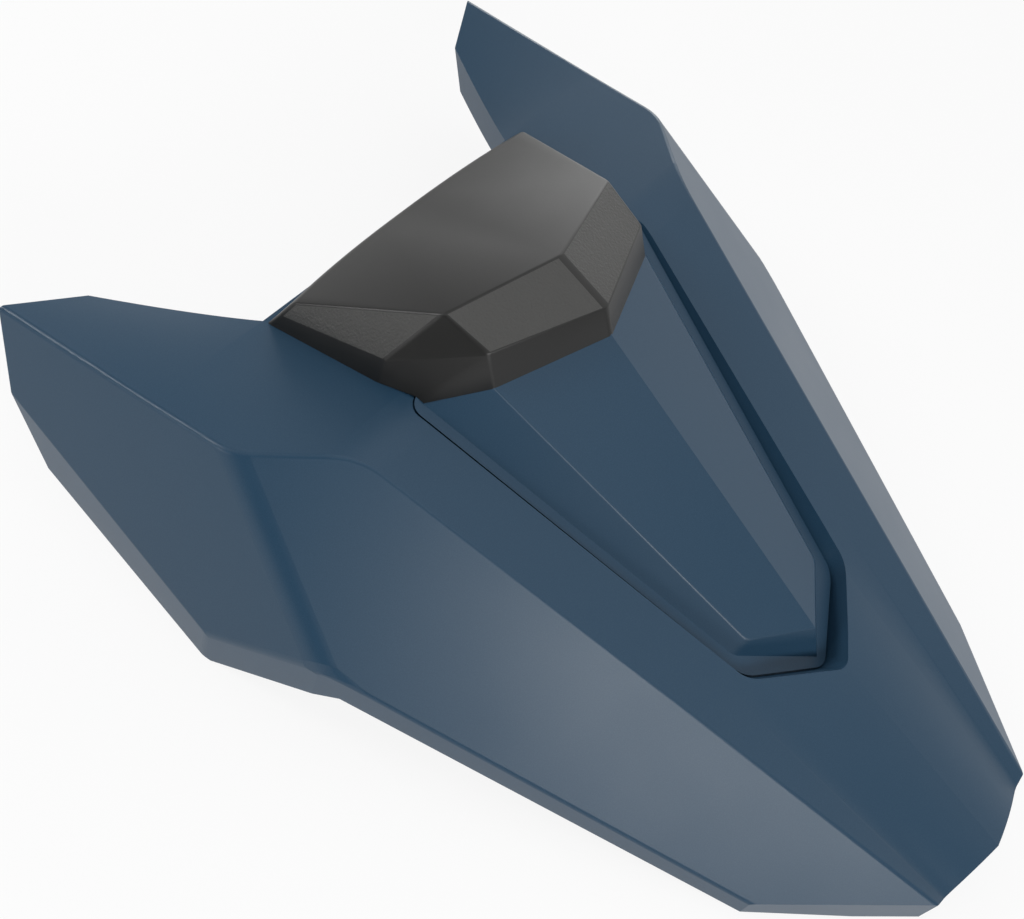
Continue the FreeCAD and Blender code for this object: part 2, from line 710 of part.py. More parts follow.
def backrest_brace():
    """Bent steel brace that carries the pad's load from the deck down to the base."""
    rear = BRACE_REAR
    front = BRACE_FRONT
    plan = [V(BRACE_HALF, front, 0), V(BRACE_HALF, rear, 0)]
    plan = plan + [mirrored(p) for p in reversed(plan)]
    under = above_deck(-REACH / 3).cut(above_deck(-brace_top()))
    block = prism(plan, BASE_TOP, TALL).common(under)
    inner = [V(BRACE_HALF - BRACE_THICK, front - 1, 0), V(BRACE_HALF - BRACE_THICK, rear + 1, 0)]
    inner = inner + [mirrored(p) for p in reversed(inner)]
    lower = above_deck(-REACH / 3).cut(above_deck(-brace_top() - BRACE_THICK))
    body = block.cut(prism(inner, 0, TALL).common(lower))
    for side in (1, -1):
        foot = Part.makeBox(BRACE_FOOT, rear - front, BRACE_THICK, V(BRACE_HALF, front, BASE_TOP))
        body = body.fuse(foot if side > 0 else flip(foot))
    holes = []
    for p in both_sides(STUD_PLACES):
        holes.append(on_deck(drill(STUD + 2 * STUD_CLEARANCE), p))
    for p in both_sides(brace_bolt_places()):
        hole = drill(BRACE_BOLT + 2 * STUD_CLEARANCE)
        hole.translate(V(p.x, p.y, BASE_TOP))
        holes.append(hole)
    return body.removeSplitter().cut(holes)


def brace_bolt_places():
    """Plan places of the brace's bolts on the right."""
    x = BRACE_HALF + BRACE_FOOT / 2 + 0.5
    return [V(x, BRACE_FRONT + 9, 0), V(x, BRACE_REAR - 9, 0)]


def brace_bolts():
    """Four bolts that hold the brace's feet on the base plate."""
    length = BASE_THICK + BRACE_THICK + NUT_HIGH + 2
    bolts = []
    for p in both_sides(brace_bolt_places()):
        bolt = screw(BRACE_BOLT, NUT_FLANGE, BOLT_HEAD_HIGH, length)
        bolt.translate(V(p.x, p.y, BASE_TOP - BASE_THICK))
        bolts.append(bolt)
    return Part.makeCompound(bolts)


def brace_nuts():
    """The nuts on the brace's bolts."""
    nuts = []
    for p in both_sides(brace_bolt_places()):
        nut = flanged_nut(BRACE_BOLT).mirror(V(), V(0, 0, 1))
        nut.translate(V(p.x, p.y, BASE_TOP + BRACE_THICK))
        nuts.append(nut)
    return Part.makeCompound(nuts)


def base_plan():
    """Closed plan outline of the base plate."""
    points = BASE_OUTLINE + [mirrored(p) for p in reversed(BASE_OUTLINE)]
    return Part.makePolygon(points + points[:1])


def base_plate():
    """The base plate with its ribs, its pads for screws and its two front hooks."""
    plan = Part.Face(base_plan()).extrude(V(0, 0, TALL))
    inner = Part.Face(base_plan().makeOffset2D(-RIB_THICK, 2)).extrude(V(0, 0, TALL))
    plate = plan.common(base_layer(0, BASE_THICK))
    ribs = [plan.cut(inner)]
    for x in (-RIB_X, RIB_X):
        ribs.append(Part.makeBox(RIB_THICK, REACH, TALL, V(x - RIB_THICK / 2, -REACH / 2, 0)))
    for y in CROSS_RIBS:
        ribs.append(Part.makeBox(REACH, RIB_THICK, TALL, V(-REACH / 2, y - RIB_THICK / 2, 0)))
    band = plan.common(base_layer(BASE_THICK / 2, BASE_THICK + RIB_DEPTH))
    body = plate.fuse([rib.common(band) for rib in ribs])
    for p in both_sides(BASE_SCREWS):
        low = base_top_at(p.y) - BASE_THICK - SCREW_PAD
        pad = Part.makeCylinder(SCREW_HEAD / 2 + 2, 2 * BASE_THICK, V(p.x, p.y, low))
        body = body.fuse(pad.common(base_layer(BASE_THICK / 2, 3 * BASE_THICK)))
    holes = []
    for side in (1, -1):
        hook = hook_tongue(0)
        body = body.fuse(hook if side > 0 else flip(hook))
        rod = Part.makeCylinder(STRIKER_ROD / 2 + ROD_CLEARANCE, TALL, V(side * STRIKER_SPAN / 2, STRIKER_Y, 0))
        holes.append(rod)
        for p in RUBBERS.values():
            holes.append(Part.makeCylinder(RUBBER_STEM / 2, TALL, V(side * p.x, p.y, 0)))
    for p in both_sides(BASE_SCREWS):
        holes.append(Part.makeCylinder(BOSS_HOLE / 2, TALL, V(p.x, p.y, 0)))
    for p in both_sides(brace_bolt_places()):
        holes.append(Part.makeCylinder(BRACE_BOLT / 2 + STUD_CLEARANCE, TALL, V(p.x, p.y, 0)))
    return body.removeSplitter().cut(holes)


def hook_tongue(grow):
    """The right front hook, grown on every side but its root."""
    left = HOOK_SPAN / 2 - HOOK_WIDTH / 2
    y = BASE_FRONT - HOOK_LENGTH
    z = BASE_TOP - BASE_THICK - HOOK_DROP
    tongue = Part.makeBox(HOOK_WIDTH + 2 * grow, HOOK_LENGTH + grow + 8, HOOK_THICK + 2 * grow,
                          V(left - grow, y - grow, z - grow))
    if grow:
        return tongue
    riser = Part.makeBox(HOOK_WIDTH, 8, HOOK_DROP + BASE_THICK / 2, V(left, BASE_FRONT, z))
    return tongue.fuse(riser)


def hook_sleeve(side):
    """Rubber sleeve over the end of a front hook."""
    room = Part.makeBox(200, SLEEVE_LENGTH + SLEEVE_WALL, 60,
                        V(0, BASE_FRONT - HOOK_LENGTH - SLEEVE_WALL, 0))
    sleeve = hook_tongue(SLEEVE_WALL).common(room).cut(hook_tongue(0))
    return sleeve if side > 0 else flip(sleeve)


def lock_striker():
    """Bent steel rod that the seat's lock grips, threaded at both ends."""
    half = STRIKER_SPAN / 2
    top = BASE_TOP + STRIKER_PLATE[2] + NUT_HIGH + 2
    low = BASE_TOP - BASE_THICK - STRIKER_DEPTH + STRIKER_ROD / 2
    r = STRIKER_BEND
    c = r * (1 - math.sqrt(0.5))
    y = STRIKER_Y
    path = Part.Wire([
        Part.makeLine(V(-half, y, top), V(-half, y, low + r)),
        Part.Arc(V(-half, y, low + r), V(-half + c, y, low + c), V(-half + r, y, low)).toShape(),
        Part.makeLine(V(-half + r, y, low), V(half - r, y, low)),
        Part.Arc(V(half - r, y, low), V(half - c, y, low + c), V(half, y, low + r)).toShape(),
        Part.makeLine(V(half, y, low + r), V(half, y, top)),
    ])
    section = Part.Wire(Part.makeCircle(STRIKER_ROD / 2, V(-half, y, top), UP))
    rod = path.makePipeShell([section], True, True)
    collar_z = BASE_TOP - BASE_THICK - STRIKER_COLLAR_HIGH
    for x in (-half, half):
        rod = rod.fuse(Part.makeCylinder(STRIKER_COLLAR / 2, STRIKER_COLLAR_HIGH, V(x, y, collar_z)))
    return rod


def striker_plate():
    """Steel plate that spreads the striker's load on the base plate."""
    wide, deep, thick = STRIKER_PLATE
    plate = Part.makeBox(wide, deep, thick, V(-wide / 2, STRIKER_Y - deep / 2, BASE_TOP))
    plate = plate.makeFillet(4, [e for e in plate.Edges if abs(e.tangentAt(e.FirstParameter).z) > 0.9])
    holes = [Part.makeCylinder(STRIKER_ROD / 2 + ROD_CLEARANCE, TALL, V(x, STRIKER_Y, 0))
             for x in (-STRIKER_SPAN / 2, STRIKER_SPAN / 2)]
    return plate.cut(holes)


def striker_nuts():
    """The two nuts on the striker's ends."""
    nuts = []
    for x in (-STRIKER_SPAN / 2, STRIKER_SPAN / 2):
        nut = hexagon(STRIKER_NUT, NUT_HIGH).cut(Part.makeCylinder(STRIKER_ROD / 2, 10, V(0, 0, -1)))
        nut.translate(V(x, STRIKER_Y, BASE_TOP + STRIKER_PLATE[2]))
        nuts.append(nut)
    return Part.makeCompound(nuts)


def base_rubber(end, side):
    """Rubber buffer pushed through the base plate, which rests on the bike's frame."""
    p = RUBBERS[end]
    under = BASE_TOP - BASE_THICK
    puck = Part.makeCylinder(RUBBER_WIDE / 2, RUBBER_HIGH, V(side * p.x, p.y, under - RUBBER_HIGH))
    low = [e for e in puck.Edges if abs(e.BoundBox.ZMax - under + RUBBER_HIGH) < 0.01]
    puck = puck.makeFillet(1.5, low)
    stem = Part.makeCylinder(RUBBER_STEM / 2, BASE_THICK + 1, V(side * p.x, p.y, under - 0.5))
    barb = Part.makeCone(RUBBER_BARB / 2, RUBBER_STEM / 2 - 1, 4, V(side * p.x, p.y, BASE_TOP))
    return puck.fuse([stem, barb])


def base_screws():
    """Six screws that hold the base plate to the shell's bosses."""
    screws = []
    for p in both_sides(BASE_SCREWS):
        one = screw(SCREW, SCREW_HEAD, SCREW_HEAD_HIGH, SCREW_LENGTH)
        one.translate(V(p.x, p.y, base_top_at(p.y) - BASE_THICK - SCREW_PAD))
        screws.append(one)
    return Part.makeCompound(screws)


def cowl_screws():
    """Screws that hold the centre cowl from under the shell's ledge."""
    screws = []
    for p in cowl_boss_places():
        one = screw(SCREW, SCREW_HEAD - 2, SCREW_HEAD_HIGH - 0.5, COWL_SCREW_LENGTH - 1)
        screws.append(on_flange(one, p, -FLANGE_THICK - WALL))
    return Part.makeCompound(screws)


def wing_felt(side):
    """Felt strip on the inner face of a wing, against the bike's tank and seat."""
    outward, flank, rake = side_normals()
    slab = beyond(WING_TIP, outward, WALL + FELT_THICK).cut(beyond(WING_TIP, outward, WALL))
    area = [FELT_FROM, V(0, FELT_TO.y, FELT_FROM.z), FELT_TO, V(0, FELT_FROM.y, FELT_TO.z)]
    strip_shape = slab.common(side_prism(area, REACH).common(beyond(V(), V(1, 0, 0))))
    return strip_shape if side > 0 else flip(strip_shape)


def tail_foam():
    """Foam block between the base plate's end and the shell's tail."""
    room = Part.makeBox(2 * FOAM_HALF, FOAM_DEEP, TALL, V(-FOAM_HALF, FOAM_FRONT, 0))
    return both_halves(half_form(WALL, WALL)).common(room).cut(base_layer(0, REACH / 2))


NODES = {
    "main_shell": main_shell,
    "centre_cowl": centre_cowl,
    "backrest_pad": backrest_pad,
    "pad_carrier": pad_carrier,
    "pad_studs": pad_studs,
    "pad_nuts": pad_nuts,
    "backrest_brace": backrest_brace,
    "brace_bolts": brace_bolts,
    "brace_nuts": brace_nuts,
    "base_plate": base_plate,
    "hook_sleeve_left": lambda: hook_sleeve(-1),
    "hook_sleeve_right": lambda: hook_sleeve(1),
    "lock_striker": lock_striker,
    "striker_plate": striker_plate,
    "striker_nuts": striker_nuts,
    "base_rubber_front_left": lambda: base_rubber("front", -1),
    "base_rubber_front_right": lambda: base_rubber("front", 1),
    "base_rubber_rear_left": lambda: base_rubber("rear", -1),
    "base_rubber_rear_right": lambda: base_rubber("rear", 1),
    "base_screws": base_screws,
    "cowl_screws": cowl_screws,
    "wing_felt_left": lambda: wing_felt(-1),
    "wing_felt_right": lambda: wing_felt(1),
    "tail_foam": tail_foam,
}

if __name__ == "__main__":
    os.makedirs("parts", exist_ok=True)
    for name, make in NODES.items():
        shape = make()
        shape.translate(V(0, CENTRING, 0))
        print(name, shape.isValid(), round(shape.Volume), len(shape.Solids), len(shape.Faces))
        shape.exportStep("parts/" + name + ".step")
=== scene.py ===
"""Looks of the seat cowl: its paint, its pad, its plastics and metals, and the studio round it."""

import math

import bpy
from mathutils import Matrix, Vector


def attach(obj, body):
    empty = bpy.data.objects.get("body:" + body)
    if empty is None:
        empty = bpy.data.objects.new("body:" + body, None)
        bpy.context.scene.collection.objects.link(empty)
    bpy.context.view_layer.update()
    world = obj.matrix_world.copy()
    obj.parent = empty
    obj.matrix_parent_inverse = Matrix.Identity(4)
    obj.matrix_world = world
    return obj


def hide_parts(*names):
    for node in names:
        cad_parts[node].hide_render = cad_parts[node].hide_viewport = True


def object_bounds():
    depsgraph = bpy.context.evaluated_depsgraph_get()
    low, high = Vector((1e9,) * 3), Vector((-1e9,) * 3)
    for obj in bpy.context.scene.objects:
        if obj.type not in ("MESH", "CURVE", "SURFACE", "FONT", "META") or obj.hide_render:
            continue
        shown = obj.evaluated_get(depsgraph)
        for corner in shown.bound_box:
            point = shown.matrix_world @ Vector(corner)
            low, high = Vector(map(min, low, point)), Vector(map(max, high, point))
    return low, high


bl_info = {
    "name": "Seat cowl looks",
    "version": (1, 0, 0),
    "blender": (4, 5, 0),
    "location": "View3D > Sidebar > Seat cowl",
    "description": "Finishes the seat cowl's pieces and sets up its studio",
    "category": "Object",
}

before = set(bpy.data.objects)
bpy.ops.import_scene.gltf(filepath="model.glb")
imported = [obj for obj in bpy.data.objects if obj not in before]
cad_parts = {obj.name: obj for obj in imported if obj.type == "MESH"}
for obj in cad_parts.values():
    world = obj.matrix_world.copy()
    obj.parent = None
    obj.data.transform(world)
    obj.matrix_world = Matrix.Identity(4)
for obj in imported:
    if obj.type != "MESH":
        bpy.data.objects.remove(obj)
CAD_BOX = [list(corner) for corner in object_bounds()]
MM = 0.001

# Pieces by their finish
PAINTED = ("main_shell", "centre_cowl")
PLASTICS = ("pad_carrier", "base_plate")
RUBBERS = ("hook_sleeve_left", "hook_sleeve_right", "base_rubber_front_left", "base_rubber_front_right",
           "base_rubber_rear_left", "base_rubber_rear_right")
FELTS = ("wing_felt_left", "wing_felt_right")
FOAMS = ("tail_foam",)
COATED = ("backrest_brace",)
ZINC = ("pad_studs", "pad_nuts", "brace_bolts", "brace_nuts", "lock_striker", "striker_plate",
        "striker_nuts", "base_screws", "cowl_screws")

# Range that holds nearly all of a noise's values
NOISE_RANGE = (0.3, 0.7)

# Corners of the right half that the pad's skin draws out, from and to, in millimetres
PAD_MOVES = (
    ((62.6, -113.7, 88.5), (64.4, -116.4, 81.9)),
    ((52.9, -57.0, 89.3), (58.8, -57.4, 89.3)),
    ((49.9, -57.0, 99.8), (58.5, -57.0, 89.6)),
    ((54.3, -60.5, 90.0), (58.9, -60.5, 90.2)),
)

# Half width of the pockets under the pad, and how far to the rear they reach, in millimetres
POCKET_HALF_WIDTH = 41.5
POCKET_REAR = -62.0

# Distances on the pad's mesh in millimetres, under which two points are one, a point is the corner
# that is looked for, two corners are merged, and an edge lies on the middle line
SAME_POINT = 0.01
CORNER_REACH = 0.6
MERGE_REACH = 1.5
MIDDLE_REACH = 1.0

# Angles between the pad's faces in degrees, from which they aren't level, their edge is rounded, and
# it looks sharp
LEVEL_ANGLE = 0.8
ROUNDED_ANGLE = 8.0
SHADING_ANGLE = 35.0

# How far the pad's faces look up (z) and along (y), from their unit normals
REAR_FACET_UP = 0.9
SIDE_FACET_UP = 0.5
SIDE_FACET_ALONG = 0.15
WALL_UP = 0.1
FRONT_WALL_ALONG = -0.85
UNDERSIDE_UP = -0.3

ROUNDING_SEGMENTS = 5

# Camera: width and focal length of the picture in pixels, width of the sensor in millimetres, and
# the nearest that it sees in metres
IMAGE_WIDTH = 1024
FOCAL_PIXELS = 1500
SENSOR = 36.0
NEAREST = 1 * MM

# Floor: its size and its gap under the piece in metres, and the share of it that looks plain white
FLOOR_SIZE = 40.0
FLOOR_GAP = 0.05 * MM
FLOOR_GLOW = 0.88

# Soft light from the sky: its direction, the cosines where it begins and is full, its strength
SKY = (
    ("far_high", (-0.72, 0.35, 0.60), 0.5, 1.0, 0.76),
    ("far_low", (-0.97, 0.20, 0.10), 0.6, 1.0, 0.3),
    ("far_ahead_low", (-0.87, -0.50, 0.0), 0.87, 1.0, 5.0),
    ("ahead_high", (-0.45, -0.55, 0.70), 0.6, 1.0, 0.36),
)

# Soft boxes: direction, distance and size in metres, power in watts
LAMPS = (
    ("rear_box", (0.48, 0.71, 0.51), 1.6, (0.8, 0.4), 11.0),
    ("rear_low_box", (0.40, 0.82, 0.41), 1.6, (0.5, 0.4), 1.2),
    ("rear_high_box", (0.0, 0.50, 0.87), 1.6, (0.5, 0.5), 0.8),
    ("top_box", (-0.02, 0.0, 1.0), 1.8, (1.4, 1.4), 5.4),
    ("front_box", (0.34, -0.72, 0.60), 1.6, (0.5, 0.35), 7.6),
    ("side_box", (0.86, -0.40, 0.32), 1.6, (0.5, 0.35), 3.5),
)


def colour_property(name, description, default):
    """A colour that the panel shows."""
    return bpy.props.FloatVectorProperty(name=name, description=description, default=default,
                                         subtype="COLOR", size=3, min=0.0, max=1.0)


def length_property(name, description, default):
    """A length that the panel shows."""
    return bpy.props.FloatProperty(name=name, description=description, default=default,
                                   unit="LENGTH", min=0.0, precision=4)


def share_property(name, description, default):
    """A share between 0 and 1 that the panel shows."""
    return bpy.props.FloatProperty(name=name, description=description, default=default,
                                   subtype="FACTOR", min=0.0, max=1.0)


class CowlPaint(bpy.types.PropertyGroup):
    """Settings of the painted pieces."""
    colour: colour_property("Paint", "Colour of the blue paint", (0.017, 0.052, 0.096))
    flake: colour_property("Flake", "Colour of the fine flakes in the paint", (0.023, 0.061, 0.108))
    flake_size: length_property("Flake size", "Size of the fine flakes in the paint", 0.35 * MM)
    roughness: share_property("Roughness", "Roughness of the matt paint", 0.36)
    specular: share_property("Specular", "Strength of the paint's reflections", 0.35)


class CowlPad(bpy.types.PropertyGroup):
    """Settings of the backrest pad."""
    colour: colour_property("Skin", "Colour of the pad's satin skin", (0.011, 0.011, 0.0105))
    grain_colour: colour_property("Grained skin", "Colour of the grained facets", (0.058, 0.058, 0.056))
    edge: length_property("Edge", "Width of the rounding along the pad's edges", 4.6 * MM)
    ridge: length_property("Ridge", "Width of the soft ridge in the middle of the pad's rear", 9 * MM)
    front: length_property("Front edge", "Width of the rounding along the top's front edge", 8.0 * MM)
    foot: length_property("Foot", "Width of the rounding along the pad's foot", 1.2 * MM)
    grain: length_property("Grain", "Size of the grain on the pad's facets", 0.9 * MM)
    satin_grain: length_property("Satin grain", "Size of the fine grain on the top and walls", 0.4 * MM)


class CowlHidden(bpy.types.PropertyGroup):
    """Settings of the pieces under the cover and inside the pad."""
    plastic: colour_property("Plastic", "Colour of the base plate and the carrier", (0.022, 0.022, 0.024))
    rubber: colour_property("Rubber", "Colour of the rubbers and the hooks' sleeves", (0.018, 0.018, 0.018))
    felt: colour_property("Felt", "Colour of the wings' felts", (0.03, 0.03, 0.031))
    foam: colour_property("Foam", "Colour of the tail's foam", (0.10, 0.10, 0.11))
    coat: colour_property("Powder coat", "Colour of the brace", (0.02, 0.02, 0.021))
    zinc: colour_property("Zinc", "Colour of the screws, nuts and striker", (0.62, 0.61, 0.58))


class CowlStage(bpy.types.PropertyGroup):
    """Settings of the studio."""
    floor: colour_property("Floor", "Colour of the floor", (0.8, 0.8, 0.8))
    sky: bpy.props.FloatProperty(name="Sky", description="Strength of the soft light from the sky",
                                 default=1.0, min=0.0)
    place: bpy.props.FloatVectorProperty(name="Camera", description="Place of the camera", size=3,
                                         default=(0.3091, 0.0665, 0.4959), subtype="TRANSLATION")
    aim: bpy.props.FloatVectorProperty(name="Aim", description="Point that the camera looks at", size=3,
                                       default=(0.02766, -0.03177, 0.05), subtype="TRANSLATION")
    roll: bpy.props.FloatProperty(name="Roll", description="Turn of the camera about its own axis",
                                  default=math.radians(24.36), subtype="ANGLE", unit="ROTATION")


def empty_material(name):
    """A node material with nothing but its output."""
    material = bpy.data.materials.new(name)
    material.use_nodes = True
    tree = material.node_tree
    tree.nodes.clear()
    return material, tree, tree.nodes.new("ShaderNodeOutputMaterial")


def new_material(name):
    """A node material with its shader and its coordinates."""
    material, tree, output = empty_material(name)
    shader = tree.nodes.new("ShaderNodeBsdfPrincipled")
    place = tree.nodes.new("ShaderNodeTexCoord")
    tree.links.new(shader.outputs[0], output.inputs[0])
    return material, tree, shader, place


def noise(tree, place, size, detail):
    """Noise in the object's own coordinates, with its grain's size in metres."""
    node = tree.nodes.new("ShaderNodeTexNoise")
    node.inputs["Scale"].default_value = 1.0 / size
    node.inputs["Detail"].default_value = detail
    tree.links.new(place.outputs["Object"], node.inputs["Vector"])
    return node.outputs["Fac"]


def spread(tree, value, low, high, to_low=0.0, to_high=1.0):
    """A value stretched from one range to another."""
    node = tree.nodes.new("ShaderNodeMapRange")
    node.inputs["From Min"].default_value = low
    node.inputs["From Max"].default_value = high
    node.inputs["To Min"].default_value = to_low
    node.inputs["To Max"].default_value = to_high
    tree.links.new(value, node.inputs["Value"])
    return node.outputs["Result"]


def arithmetic(tree, operation, first, second):
    """A sum, product or other result of two values, each a number or a socket."""
    node = tree.nodes.new("ShaderNodeMath")
    node.operation = operation
    for slot, value in zip(node.inputs, (first, second)):
        if isinstance(value, float):
            slot.default_value = value
        else:
            tree.links.new(value, slot)
    return node.outputs[0]


def blend_colours(tree, factor, first, second):
    """A colour between two, by a factor."""
    node = tree.nodes.new("ShaderNodeMix")
    node.data_type = "RGBA"
    tree.links.new(factor, node.inputs["Factor"])
    node.inputs["A"].default_value = (*first, 1.0)
    node.inputs["B"].default_value = (*second, 1.0)
    return node.outputs["Result"]


def shade(tree, shader, tone, colour, darkest):
    """Colours the shader between a darkest share of a colour and the full colour, by a tone."""
    darker = tuple(darkest * part for part in colour)
    tree.links.new(blend_colours(tree, tone, darker, colour), shader.inputs["Base Color"])


def roughen(tree, shader, tone, roughness, swing):
    """Gives the shader a roughness that swings to both sides, by a tone."""
    rough = spread(tree, tone, *NOISE_RANGE, roughness - swing, roughness + swing)
    tree.links.new(rough, shader.inputs["Roughness"])


def bump(tree, shader, height, distance, strength=1.0):
    """A bump on the shader from a height between 0 and 1."""
    node = tree.nodes.new("ShaderNodeBump")
    node.inputs["Distance"].default_value = distance
    node.inputs["Strength"].default_value = strength
    tree.links.new(height, node.inputs["Height"])
    tree.links.new(node.outputs["Normal"], shader.inputs["Normal"])


def paint_material(settings):
    """Matt blue paint with fine flakes."""
    material, tree, shader, place = new_material("matt_blue_paint")
    flakes = spread(tree, noise(tree, place, settings.flake_size, detail=2.0), low=0.42, high=0.68)
    colour = blend_colours(tree, flakes, settings.colour, settings.flake)
    tree.links.new(colour, shader.inputs["Base Color"])
    roughen(tree, shader, noise(tree, place, size=60 * MM, detail=4.0), settings.roughness, swing=0.02)
    shader.inputs["Specular IOR Level"].default_value = settings.specular
    bump(tree, shader, noise(tree, place, size=0.5 * MM, detail=2.0), distance=0.012 * MM, strength=0.6)
    return material


def skin_material(name, colour, roughness, grain, depth):
    """The pad's black moulded skin with a grain of a size and a depth."""
    material, tree, shader, place = new_material(name)
    tone = noise(tree, place, size=12 * MM, detail=4.0)
    shade(tree, shader, tone, colour, darkest=0.85)
    roughen(tree, shader, tone, roughness, swing=0.01)
    bump(tree, shader, noise(tree, place, grain, detail=3.0), depth)
    return material


def plastic_material(name, colour, roughness, grain, depth):
    """Moulded plastic, rubber or felt with a grain of a size and a depth."""
    material, tree, shader, place = new_material(name)
    tone = noise(tree, place, size=20 * grain, detail=4.0)
    shade(tree, shader, tone, colour, darkest=0.8)
    roughen(tree, shader, tone, roughness, swing=0.04)
    bump(tree, shader, noise(tree, place, grain, detail=3.0), depth)
    return material


def metal_material(name, colour, roughness):
    """Plated metal with faint stains."""
    material, tree, shader, place = new_material(name)
    tone = noise(tree, place, size=4 * MM, detail=5.0)
    shade(tree, shader, tone, colour, darkest=0.82)
    shader.inputs["Metallic"].default_value = 1.0
    roughen(tree, shader, tone, roughness, swing=0.06)
    bump(tree, shader, noise(tree, place, size=0.2 * MM, detail=2.0), distance=0.01 * MM)
    return material


def floor_material(colour):
    """A matt floor that looks mostly white from the camera and in reflections, and keeps its shadow."""
    material, tree, output = empty_material("floor")
    diffuse = tree.nodes.new("ShaderNodeBsdfDiffuse")
    diffuse.inputs["Color"].default_value = (*colour, 1.0)
    glow = tree.nodes.new("ShaderNodeEmission")
    glow.inputs["Strength"].default_value = 1.0
    rays = tree.nodes.new("ShaderNodeLightPath")
    seen = rays.outputs["Is Camera Ray"]
    for kind in ("Is Glossy Ray", "Is Transmission Ray"):
        seen = arithmetic(tree, "MAXIMUM", seen, rays.outputs[kind])
    share = arithmetic(tree, "MULTIPLY", seen, FLOOR_GLOW)
    mix = tree.nodes.new("ShaderNodeMixShader")
    tree.links.new(share, mix.inputs[0])
    tree.links.new(diffuse.outputs[0], mix.inputs[1])
    tree.links.new(glow.outputs[0], mix.inputs[2])
    tree.links.new(mix.outputs[0], output.inputs[0])
    return material


def dress(nodes, material):
    """Gives carried-over nodes one material."""
    for node in nodes:
        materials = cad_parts[node].data.materials
        materials.clear()
        materials.append(material)


def only(obj):
    """Leaves one object selected and active."""
    bpy.ops.object.select_all(action="DESELECT")
    obj.select_set(True)
    bpy.context.view_layer.objects.active = obj


def joined_copy(node, name, flatness):
    """A copy of a node whose loose triangles are joined into whole faces."""
    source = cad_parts[node]
    piece = source.copy()
    piece.data = source.data.copy()
    piece.name = name
    piece.data.name = name
    bpy.context.scene.collection.objects.link(piece)
    only(piece)
    bpy.ops.object.mode_set(mode="EDIT")
    bpy.ops.mesh.select_all(action="SELECT")
    bpy.ops.mesh.remove_doubles(threshold=SAME_POINT * MM)
    bpy.ops.mesh.customdata_custom_splitnormals_clear()
    bpy.ops.mesh.dissolve_limited(angle_limit=flatness)
    bpy.ops.object.mode_set(mode="OBJECT")
    return piece


def apply_bevel(piece, half_width, segments):
    """Rounds a piece's edges by their bevel weights, in the piece's first material."""
    modifier = piece.modifiers.new("rounding", "BEVEL")
    modifier.material = 0
    modifier.limit_method = "WEIGHT"
    modifier.width = half_width
    modifier.segments = segments
    modifier.use_clamp_overlap = True
    only(piece)
    bpy.ops.object.modifier_apply(modifier="rounding")


def looking(direction):
    """The turn of a camera or a lamp that looks in a direction."""
    return direction.to_track_quat("-Z", "Y").to_matrix().to_4x4()


class PaintedPieces(bpy.types.Operator):
    """Paint the shell and the centre cowl"""
    bl_idname = "cowl.painted_pieces"
    bl_label = "Painted pieces"

    def execute(self, context):
        dress(PAINTED, paint_material(context.scene.cowl_paint))
        return {"FINISHED"}


